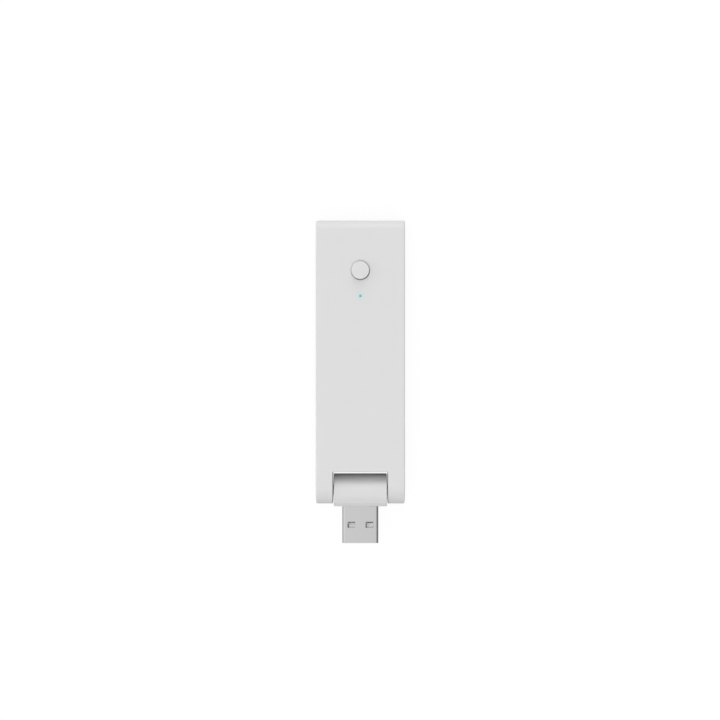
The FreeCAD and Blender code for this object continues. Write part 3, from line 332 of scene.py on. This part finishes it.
# %% Cut the seam: the line is pulled up into a ribbon and made as thick as the gap
select_only(seam_cutter)
bpy.ops.object.mode_set(mode="EDIT")
bpy.ops.mesh.select_all(action="SELECT")
push((0, 0, SPARE + 2 * SHEET))
bpy.ops.object.mode_set(mode="OBJECT")
finish_modifier(seam_cutter, "SOLIDIFY", thickness=SEAM_GAP, offset=0, use_even_offset=True)
select_only(seam_cutter)
bpy.ops.object.mode_set(mode="EDIT")
bpy.ops.mesh.select_all(action="SELECT")
bpy.ops.mesh.normals_make_consistent(inside=False)
bpy.ops.object.mode_set(mode="OBJECT")
cut_away(plug_sleeve, seam_cutter)
report(plug_sleeve)

# %% Break the sleeve's cut edges
finish_modifier(plug_sleeve, "BEVEL", width=CUT_EDGE, segments=CUT_EDGE_STEPS, limit_method="ANGLE",
                angle_limit=math.radians(50), use_clamp_overlap=True)
smooth(plug_sleeve, degrees=35)
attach(plug_sleeve, "plug")
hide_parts("usb_shell")
report(plug_sleeve)

# %% [markdown]
# The plug's tongue
#
# Through the windows one sees the pale tongue that carries the contacts. Under each window it has a
# shallow pocket, which leaves room for the nose of the socket's spring, and a deeper step along the
# pocket's upper and left edges. The steps are what makes the windows look deep, with a dark line on the
# sides that the light comes from. The tongue's own form is right in the frame, so its mesh is copied,
# and the pockets are cut into the copy.

# %% Sizes of the tongue's pockets
POCKET_MARGIN = 0.08 * MM
POCKET_DEPTH = 0.12 * MM
STEP_WIDTH = 0.5 * MM
STEP_DEPTH = 0.9 * MM
print(f"pockets {POCKET_DEPTH / MM} and {STEP_DEPTH / MM} mm deep")

# %% Cut the tongue's pockets
plug_tongue = copy_of_node("plug_tongue", "usb_tongue")
tongue_low, tongue_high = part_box("usb_tongue")
pocket_low, pocket_high = window_low - POCKET_MARGIN, window_low + WINDOW_LENGTH + POCKET_MARGIN
for side in (-1, 1):
    middle_x = shell_middle.x + side * WINDOW_SPACING / 2
    left = middle_x - WINDOW_WIDTH / 2 - POCKET_MARGIN
    right = middle_x + WINDOW_WIDTH / 2 + POCKET_MARGIN
    for name, low, high, depth in (
            ("pocket_cutter", (left, pocket_low), (right, pocket_high), POCKET_DEPTH),
            ("left_step_cutter", (left, pocket_low), (left + STEP_WIDTH, pocket_high), STEP_DEPTH),
            ("upper_step_cutter", (left, pocket_high - STEP_WIDTH), (right, pocket_high), STEP_DEPTH)):
        cutter = add_box(name, (*low, tongue_high.z - depth), (*high, shell_high.z + SPARE))
        cut_away(plug_tongue, cutter)
print(f"tongue {(tongue_high - tongue_low) / MM} mm")
smooth(plug_tongue, degrees=30)
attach(plug_tongue, "plug")
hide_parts("usb_tongue")
report(plug_tongue)

# %% [markdown]
# The hinge block
#
# The block that carries the plug is moulded in two halves. Its skin is round about the hinge axis, but
# not quite a circle: over the crown it's a little flatter, so that it clears a table when it turns, and
# towards the notch it stands out a little more. Its sides reach out far enough to leave only a fine dark
# gap beside the ears. The inside, with the bores and the plug's seat, is right in the frame. So each
# half is copied, and only the points of its skin are pulled into shape.

# %% Sizes of the hinge block's skin
CROWN_DROP = 0.94
NOTCH_REACH = 1.02
SIDE_REACH = 1.015
SKIN_DEPTH = 0.7 * MM

block_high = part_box("hinge_block_front")[1]
hinge = Vector(frame["record"]["behaviour"]["joints"][0]["pos_m"])
block_radius = block_high.z - hinge.z
print(f"block of {block_radius / MM:.2f} mm radius")


# %% Reshape the hinge block's skin
def on_skin(point):
    """Tell whether a point lies on the block's outside, by its distance from the hinge axis."""
    across = point.co.y - hinge.y
    up = abs(point.co.z - hinge.z)
    inner = block_radius - SKIN_DEPTH
    return up > inner or across > 0 and math.hypot(across, up) > inner


pulls = [((1, 1, CROWN_DROP), on_skin),
         ((1, NOTCH_REACH, 1), lambda point: on_skin(point) and point.co.y > hinge.y),
         ((SIDE_REACH, 1, 1), lambda point: abs(point.co.x) > block_high.x - SKIN_DEPTH / 2)]
block_halves = []
for name, node in (("block_front", "hinge_block_front"), ("block_back", "hinge_block_back")):
    half = copy_of_node(name, node)
    for factors, test in pulls:
        choose(half, "VERT", test)
        bpy.ops.transform.resize(value=factors, center_override=hinge)
        bpy.ops.object.mode_set(mode="OBJECT")
    smooth(half, degrees=50)
    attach(half, "plug")
    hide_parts(node)
    block_halves.append(half)
    report(half)

# %% [markdown]
# Node groups that several finishes share
#
# Moulded plastic, rolled sheet and turned steel all show marks of how they were made, far too small to
# model. Each mark is a node group with named inputs, so one idea serves many materials: it gives a
# height for a bump, and a mask that shifts colour or gloss a little. All of them read Object
# coordinates, which here are metres in the hub's own frame, so a grain's size is a real size.


# %% Helpers for node trees
def group_tree(name, inputs, outputs):
    """Start a node group with float inputs and outputs, given as name and default."""
    tree = bpy.data.node_groups.new(name, "ShaderNodeTree")
    for label, default in inputs:
        socket = tree.interface.new_socket(name=label, in_out="INPUT", socket_type="NodeSocketFloat")
        socket.default_value = default
    for label in outputs:
        tree.interface.new_socket(name=label, in_out="OUTPUT", socket_type="NodeSocketFloat")
    return tree, tree.nodes.new("NodeGroupInput"), tree.nodes.new("NodeGroupOutput")


def add_node(tree, kind, **settings):
    """Add a node and set its properties."""
    node = tree.nodes.new(kind)
    for key, setting in settings.items():
        setattr(node, key, setting)
    return node


def feed(tree, source, socket):
    """Give a socket a number, or link another socket to it."""
    if isinstance(source, (int, float)):
        socket.default_value = source
    else:
        tree.links.new(source, socket)


def math_node(tree, operation, first, second=0.0):
    """Add a math node on two sockets or numbers, and return its result."""
    node = add_node(tree, "ShaderNodeMath", operation=operation)
    feed(tree, first, node.inputs[0])
    feed(tree, second, node.inputs[1])
    return node.outputs[0]


def fade(tree, value, start, stop):
    """Return 1 where a value is below start, 0 above stop, and a smooth step between."""
    step = add_node(tree, "ShaderNodeMapRange", interpolation_type="SMOOTHSTEP")
    for label, source in (("From Min", start), ("From Max", stop), ("To Min", 1.0), ("To Max", 0.0)):
        feed(tree, source, step.inputs[label])
    tree.links.new(value, step.inputs["Value"])
    return step.outputs["Result"]


def noise_at(tree, place, size, detail):
    """Add a noise whose grains are about size across, and return its value."""
    noise = add_node(tree, "ShaderNodeTexNoise")
    noise.inputs["Detail"].default_value = detail
    tree.links.new(place, noise.inputs["Vector"])
    feed(tree, math_node(tree, "DIVIDE", 1.0, size), noise.inputs["Scale"])
    return noise.outputs["Fac"]


print("node helpers ready")

# %% Moulded grain: the spark-eroded skin of a tool, printed on plastic
grain_tree, grain_in, grain_out = group_tree(
    "moulded_grain", [("Grain", 0.12 * MM), ("Cloud", 9 * MM)], ["Height", "Cloud"])
grain_place = add_node(grain_tree, "ShaderNodeTexCoord").outputs["Object"]
fine = noise_at(grain_tree, grain_place, grain_in.outputs["Grain"], detail=2.0)
cloud = noise_at(grain_tree, grain_place, grain_in.outputs["Cloud"], detail=3.0)
grain_tree.links.new(fine, grain_out.inputs["Height"])
grain_tree.links.new(cloud, grain_out.inputs["Cloud"])
print("moulded_grain: 0.12 mm pits over 9 mm clouds")

# %% Drawn lines: rolling or grinding marks along the hub
LINE_STRETCH = 0.03
lines_tree, lines_in, lines_out = group_tree(
    "drawn_lines", [("Width", 0.06 * MM), ("Mottle", 1.6 * MM)], ["Height", "Mottle"])
lines_place = add_node(lines_tree, "ShaderNodeTexCoord").outputs["Object"]
stretch = add_node(lines_tree, "ShaderNodeMapping")
stretch.inputs["Scale"].default_value = (1.0, LINE_STRETCH, 1.0)
lines_tree.links.new(lines_place, stretch.inputs["Vector"])
marks = noise_at(lines_tree, stretch.outputs["Vector"], lines_in.outputs["Width"], detail=2.0)
mottle = noise_at(lines_tree, lines_place, lines_in.outputs["Mottle"], detail=3.0)
lines_tree.links.new(marks, lines_out.inputs["Height"])
lines_tree.links.new(mottle, lines_out.inputs["Mottle"])
print("drawn_lines: 0.06 mm marks along Y over 1.6 mm mottling")

# %% Round spot: a soft disc about an upright line, above one level
spot_tree, spot_in, spot_out = group_tree(
    "round_spot", [("Middle X", 0.0), ("Middle Y", 0.0), ("Core", 0.4 * MM), ("Radius", 1.5 * MM),
                   ("Level", 0.0)], ["Mask"])
spot_axes = add_node(spot_tree, "ShaderNodeSeparateXYZ")
spot_tree.links.new(add_node(spot_tree, "ShaderNodeTexCoord").outputs["Object"], spot_axes.inputs[0])
squares = []
for axis in "XY":
    offset = math_node(spot_tree, "SUBTRACT", spot_axes.outputs[axis], spot_in.outputs[f"Middle {axis}"])
    squares.append(math_node(spot_tree, "POWER", offset, 2.0))
distance = math_node(spot_tree, "SQRT", math_node(spot_tree, "ADD", *squares))
spot_above = math_node(spot_tree, "GREATER_THAN", spot_axes.outputs["Z"], spot_in.outputs["Level"])
spot_disc = fade(spot_tree, distance, spot_in.outputs["Core"], spot_in.outputs["Radius"])
spot_tree.links.new(math_node(spot_tree, "MULTIPLY", spot_disc, spot_above), spot_out.inputs["Mask"])
print("round_spot: a soft disc")

# %% [markdown]
# Finishes
#
# One function builds a finish from a short list of facts: colour, gloss, how metallic it is, and which
# marks lie on it. The marks shift the colour by a few percent through a mix, and tilt the surface
# through a bump whose distance is a real height. Numbers that are the same all over go straight on the
# shader's sockets. Most colours are the record's own. Three are set here, by what the picture shows.

# %% A finish from its facts
GLOSS_SHIFT = 0.05
BUMP_STRENGTH = 0.5


def mix_colour(tree, mask, first, second):
    """Mix two colours, each a value or a socket, by a mask, and return the result."""
    mixer = add_node(tree, "ShaderNodeMix", data_type="RGBA")
    tree.links.new(mask, mixer.inputs["Factor"])
    for label, source in (("A", first), ("B", second)):
        if isinstance(source, tuple):
            mixer.inputs[label].default_value = (*source, 1)
        else:
            tree.links.new(source, mixer.inputs[label])
    return mixer.outputs["Result"]


def finish_of(name, colour, roughness, metallic=0.0, marks="moulded_grain", sizes=None, tone=0.03,
              height=0.004 * MM, coat=0.0):
    """Build a procedural material for one of the record's slots."""
    material = bpy.data.materials.new(name)
    material.use_nodes = True
    tree = material.node_tree
    shader = tree.nodes["Principled BSDF"]
    shader.inputs["Metallic"].default_value = metallic
    shader.inputs["Coat Weight"].default_value = coat
    effect = add_node(tree, "ShaderNodeGroup", node_tree=bpy.data.node_groups[marks])
    for label, number in (sizes or {}).items():
        effect.inputs[label].default_value = number
    shift = effect.outputs[1]
    dark = tuple(part * (1 - tone) for part in colour)
    light = tuple(min(1.0, part * (1 + tone)) for part in colour)
    tree.links.new(mix_colour(tree, shift, dark, light), shader.inputs["Base Color"])
    spread = add_node(tree, "ShaderNodeMapRange")
    spread.inputs["To Min"].default_value = roughness - GLOSS_SHIFT
    spread.inputs["To Max"].default_value = roughness + GLOSS_SHIFT
    tree.links.new(shift, spread.inputs["Value"])
    tree.links.new(spread.outputs["Result"], shader.inputs["Roughness"])
    bump = add_node(tree, "ShaderNodeBump")
    bump.inputs["Strength"].default_value = BUMP_STRENGTH
    bump.inputs["Distance"].default_value = height
    tree.links.new(effect.outputs["Height"], bump.inputs["Height"])
    tree.links.new(bump.outputs["Normal"], shader.inputs["Normal"])
    return material


print("finish_of ready")

# %% Every finish of the hub
SEEN_COLOURS = {
    "plug_shell": (0.705, 0.71, 0.706),
    "plug_plastic": (0.68, 0.68, 0.675),
    "status_light": (0.20, 0.33, 0.315),
}
METAL = {"metallic": 1.0, "marks": "drawn_lines"}
FACTS = {
    "housing_white": {"roughness": 0.55, "tone": 0.008},
    "hinge_white": {"roughness": 0.55, "tone": 0.008},
    "plug_plastic": {"roughness": 0.45, "tone": 0.02},
    "chip_black": {"roughness": 0.5, "sizes": {"Grain": 0.05 * MM}},
    "board_green": {"roughness": 0.3, "tone": 0.12, "coat": 0.3,
                    "sizes": {"Grain": 0.3 * MM, "Cloud": 3 * MM}},
    "pad_grey": {"roughness": 0.8, "tone": 0.05},
    "cable_black": {"roughness": 0.5, "tone": 0.05},
    "capacitor_tan": {"roughness": 0.6, "tone": 0.08},
    "plug_shell": {**METAL, "roughness": 0.3, "tone": 0.02, "height": 0.002 * MM},
    "tinned_sheet": {**METAL, "roughness": 0.35, "tone": 0.04},
    "steel": {**METAL, "roughness": 0.3},
    "contact_gold": {**METAL, "roughness": 0.2},
    "status_light": {"roughness": 0.3, "tone": 0.02},
}
finishes = {}
for entry in frame["record"]["materials"]:
    slot = entry["slot"]
    colour = SEEN_COLOURS.get(slot, tuple(entry["base_color"]))
    finishes[slot] = finish_of(slot, colour, **FACTS[slot])
print(f"{len(finishes)} finishes")

# %% [markdown]
# Painted glow and shade round the lamp
#
# The status lamp shines through a pinhole, and a little of its light spreads in the white plastic round
# it. That light is painted on: the housing gets a faint teal ring about the pinhole, whose colour sends
# back less red, and a painted glow adds a little teal. Close to the pinhole's edge the plastic is
# darkened with painted shade. Two round masks, a wide one and a narrow one, feed this painted glow and
# shade to the one white finish.

# %% Painted glow and shade round the pinhole
HALO_CORE = 0.55 * MM
HALO_RADIUS = 2.1 * MM
PAINTED_HALO_TINT = (0.665, 0.75, 0.75)
PAINTED_HALO_GLOW = (0.0, 0.028, 0.026)
LAMP_GLOW = (0.055, 0.055, 0.055)
PAINTED_RIM_SHADE = (0.58, 0.63, 0.63)
RIM_CORE = 0.35 * MM
RIM_RADIUS = 0.85 * MM

light_low, light_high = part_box("light_pipe")
light_middle = (light_low + light_high) / 2
white_tree = finishes["housing_white"].node_tree
white_shader = white_tree.nodes["Principled BSDF"]
plain_white = white_shader.inputs["Base Color"].links[0].from_socket


def spot_at_lamp(core, radius):
    """Add a round spot about the pinhole, and return its mask."""
    spot = add_node(white_tree, "ShaderNodeGroup", node_tree=spot_tree)
    for label, number in (("Middle X", light_middle.x), ("Middle Y", light_middle.y), ("Core", core),
                          ("Radius", radius), ("Level", face_level - FRONT_WALL)):
        spot.inputs[label].default_value = number
    return spot.outputs["Mask"]


halo = spot_at_lamp(HALO_CORE, HALO_RADIUS)
rim = spot_at_lamp(RIM_CORE, RIM_RADIUS)
print(f"lamp at y {light_middle.y / MM:.2f} mm")

# %% Join the painted glow and shade to the white finish
# Painted glow and shade: a teal tint and glow round the pinhole, darker close to its edge.
haloed = mix_colour(white_tree, halo, plain_white, PAINTED_HALO_TINT)
shaded = mix_colour(white_tree, rim, haloed, PAINTED_RIM_SHADE)
white_tree.links.new(shaded, white_shader.inputs["Base Color"])
glow = mix_colour(white_tree, halo, (0.0, 0.0, 0.0), PAINTED_HALO_GLOW)
white_tree.links.new(glow, white_shader.inputs["Emission Color"])
white_shader.inputs["Emission Strength"].default_value = 1.0
lamp_shader = finishes["status_light"].node_tree.nodes["Principled BSDF"]
lamp_shader.inputs["Emission Color"].default_value = (*LAMP_GLOW, 1)
lamp_shader.inputs["Emission Strength"].default_value = 1.0
print("halo joined")

# %% [markdown]
# Painted shade on the sleeve's folds
#
# Along each outer edge of the sleeve, over its folds, the colour is mixed towards grey: a darker
# line of painted shade, while the flat faces stay bright. The plug's middle line is at X = 0, so the
# distance from it is all that the mask has to know.

# %% Painted shade along the sleeve's outer edges
FOLD_SHADE_GREY = (0.33, 0.33, 0.33)
FOLD_START = 5.35 * MM
FOLD_FULL = 5.85 * MM

metal_tree = finishes["plug_shell"].node_tree
metal_shader = metal_tree.nodes["Principled BSDF"]
flat_metal = metal_shader.inputs["Base Color"].links[0].from_socket
metal_axes = add_node(metal_tree, "ShaderNodeSeparateXYZ")
metal_tree.links.new(add_node(metal_tree, "ShaderNodeTexCoord").outputs["Object"], metal_axes.inputs[0])
sideways = math_node(metal_tree, "ABSOLUTE", metal_axes.outputs["X"])
flat_mask = fade(metal_tree, sideways, FOLD_START, FOLD_FULL)
# Painted shade: the sleeve's colour turns grey towards its outer edges.
darkened = mix_colour(metal_tree, flat_mask, FOLD_SHADE_GREY, flat_metal)
metal_tree.links.new(darkened, metal_shader.inputs["Base Color"])
print("folds dulled")

# %% [markdown]
# Keep the gaps dark
#
# White walls that face each other throw light back and forth, and a narrow gap fills up with light.
# The gaps are to stay darker than that, so the whites are painted dark grey for light that has
# already bounced off another wall: painted shade in the gaps.

# %% Darker to bounced light, which paints shade into the gaps
# Painted shade: the dark grey that the whites show to bounced light.
GAP_SHADE_GREY = (0.25, 0.25, 0.25)
for slot in ("housing_white", "hinge_white", "plug_plastic"):
    tree = finishes[slot].node_tree
    shader = tree.nodes["Principled BSDF"]
    seen_colour = shader.inputs["Base Color"].links[0].from_socket
    bounced = add_node(tree, "ShaderNodeLightPath").outputs["Is Diffuse Ray"]
    tree.links.new(mix_colour(tree, bounced, seen_colour, GAP_SHADE_GREY), shader.inputs["Base Color"])
print("gaps kept dark")

# %% [markdown]
# Put the finishes on
#
# The frame's own pieces come with a place for a finish, so each only needs the one that the record names
# for it. A new piece has no such place, or one that its copied mesh brought along. So its places are
# cleared first, and then it's given its own finish.

# %% Dress every piece
slot_of_node = {part["node"]: part["material_slot"] for part in frame["record"]["subparts"]}
for name, item in nodes.items():
    for place in item.material_slots:
        place.material = finishes[slot_of_node[name]]
new_pieces = [(push_button, "housing_white"), (plug_sleeve, "plug_shell"), (plug_tongue, "plug_plastic")]
new_pieces += [(half, "hinge_white") for half in block_halves]
for piece, slot in new_pieces:
    piece.data.materials.clear()
    piece.data.materials.append(finishes[slot])
print("every piece has its finish")

# %% [markdown]
# Floor
#
# The picture's ground is pure white, and still the floor must carry a trace of shadow. So the floor
# shows itself to the camera, and to metal that mirrors it, as glowing paper, with a little plain paper
# added that the shadow can darken. For all other light it's dull grey paper that gives little back, so
# that the round ends of the stick fall off into shade as they do in the picture.

# %% Floor
FLOOR_SIZE = 4.0
FLOOR_DROP = 0.02 * MM
FLOOR_GREY = 0.1
FLOOR_GLOW = 0.92
bpy.ops.object.select_all(action="DESELECT")
bpy.ops.mesh.primitive_plane_add(size=FLOOR_SIZE, location=(0, 0, -FLOOR_DROP))
floor = bpy.context.object
floor.name = "floor"
paper = bpy.data.materials.new("floor_paper")
paper.use_nodes = True
paper_tree = paper.node_tree
paper_shader = paper_tree.nodes["Principled BSDF"]
paper_grey = (FLOOR_GREY, FLOOR_GREY, FLOOR_GREY, 1)
paper_shader.inputs["Base Color"].default_value = paper_grey
paper_shader.inputs["Roughness"].default_value = 1.0
paper_shader.inputs["Specular IOR Level"].default_value = 0.0
seen = add_node(paper_tree, "ShaderNodeBsdfDiffuse")
seen.inputs["Color"].default_value = paper_grey
glow = add_node(paper_tree, "ShaderNodeEmission")
glow.inputs["Strength"].default_value = FLOOR_GLOW
both = add_node(paper_tree, "ShaderNodeAddShader")
paper_tree.links.new(seen.outputs[0], both.inputs[0])
paper_tree.links.new(glow.outputs[0], both.inputs[1])
path = add_node(paper_tree, "ShaderNodeLightPath")
direct = math_node(paper_tree, "MAXIMUM", path.outputs["Is Camera Ray"], path.outputs["Is Glossy Ray"])
direct = math_node(paper_tree, "MAXIMUM", direct, path.outputs["Is Transmission Ray"])
choice = add_node(paper_tree, "ShaderNodeMixShader")
paper_tree.links.new(direct, choice.inputs[0])
paper_tree.links.new(paper_shader.outputs[0], choice.inputs[1])
paper_tree.links.new(both.outputs[0], choice.inputs[2])
paper_tree.links.new(choice.outputs[0], paper_tree.nodes["Material Output"].inputs["Surface"])
floor.data.materials.append(paper)
print("floor laid")

# %% [markdown]
# Light
#
# The room is an even, fairly dim sky. Six large soft lights do the rest, as in a photographer's tent:
# two beyond the top end, which draw the button's soft shadow and leave the block behind the notch's edge
# in the dark, two from the front and above, and two on the left. Nothing stands on the right, so the
# right edges turn grey. The lights are suns, which have no distance, so the long face is as bright at
# one end as at the other. What the metal mirrors is the tent itself, white overhead and on the left and
# darker on the right, so the suns stay out of mirrored rays.

# %% World
SKY = 0.247
TENT_WHITE = 1.0
TENT_RIGHT = 0.15
TENT_TURNS = (-0.2, 0.8)
world = bpy.data.worlds.new("pale_room")
bpy.context.scene.world = world
world.use_nodes = True
world_tree = world.node_tree
room = world_tree.nodes["Background"]
room.inputs["Color"].default_value = (1, 1, 1, 1)
room.inputs["Strength"].default_value = SKY


def world_mix(mask, first, second):
    """Mix two world shaders by a mask, and return the result."""
    mixer = add_node(world_tree, "ShaderNodeMixShader")
    for source, place in ((mask, 0), (first, 1), (second, 2)):
        world_tree.links.new(source, mixer.inputs[place])
    return mixer.outputs[0]


def white_background(strength):
    """Add a white background of some strength, and return it."""
    white = add_node(world_tree, "ShaderNodeBackground")
    white.inputs["Color"].default_value = (1, 1, 1, 1)
    feed(world_tree, strength, white.inputs["Strength"])
    return white.outputs[0]


world_path = add_node(world_tree, "ShaderNodeLightPath")
seen_white = math_node(world_tree, "MAXIMUM", world_path.outputs["Is Camera Ray"],
                       world_path.outputs["Is Transmission Ray"])
directions = add_node(world_tree, "ShaderNodeSeparateXYZ")
around = add_node(world_tree, "ShaderNodeTexCoord").outputs["Generated"]
world_tree.links.new(around, directions.inputs[0])
tent = add_node(world_tree, "ShaderNodeMapRange")
for label, number in (("From Min", TENT_TURNS[0]), ("From Max", TENT_TURNS[1]),
                      ("To Min", TENT_WHITE), ("To Max", TENT_RIGHT)):
    tent.inputs[label].default_value = number
world_tree.links.new(directions.outputs["X"], tent.inputs["Value"])
plain = world_mix(seen_white, room.outputs[0], white_background(TENT_WHITE))
mirrored = world_mix(world_path.outputs["Is Glossy Ray"], plain,
                     white_background(tent.outputs["Result"]))
world_tree.links.new(mirrored, world_tree.nodes["World Output"].inputs["Surface"])
print(f"sky at {SKY}, mirrored tent from {TENT_WHITE} to {TENT_RIGHT}")

# %% Soft lights: name, azimuth, elevation and width in degrees, and strength
LIGHTS = [
    ("beyond_top", 90, 8, 30, 1.80),
    ("above_top", 90, 30, 45, 0.38),
    ("front_low", 270, 50, 30, 0.64),
    ("front_high", 270, 70, 75, 1.035),
    ("left_low", 180, 8, 30, 0.98),
    ("left_high", 180, 50, 75, 0.24),
]
for name, azimuth, elevation, width, strength in LIGHTS:
    light_data = bpy.data.lights.new(name, "SUN")
    light_data.energy = strength
    light_data.angle = math.radians(width)
    light = bpy.data.objects.new(name, light_data)
    light.visible_glossy = False
    bpy.context.scene.collection.objects.link(light)
    turn, up = math.radians(azimuth), math.radians(elevation)
    towards = Vector((math.cos(turn) * math.cos(up), math.sin(turn) * math.cos(up), math.sin(up)))
    light.rotation_mode = "QUATERNION"
    light.rotation_quaternion = towards.to_track_quat("Z", "Y")
bpy.context.scene.view_settings.view_transform = "Standard"
print(f"{len(LIGHTS)} soft lights")
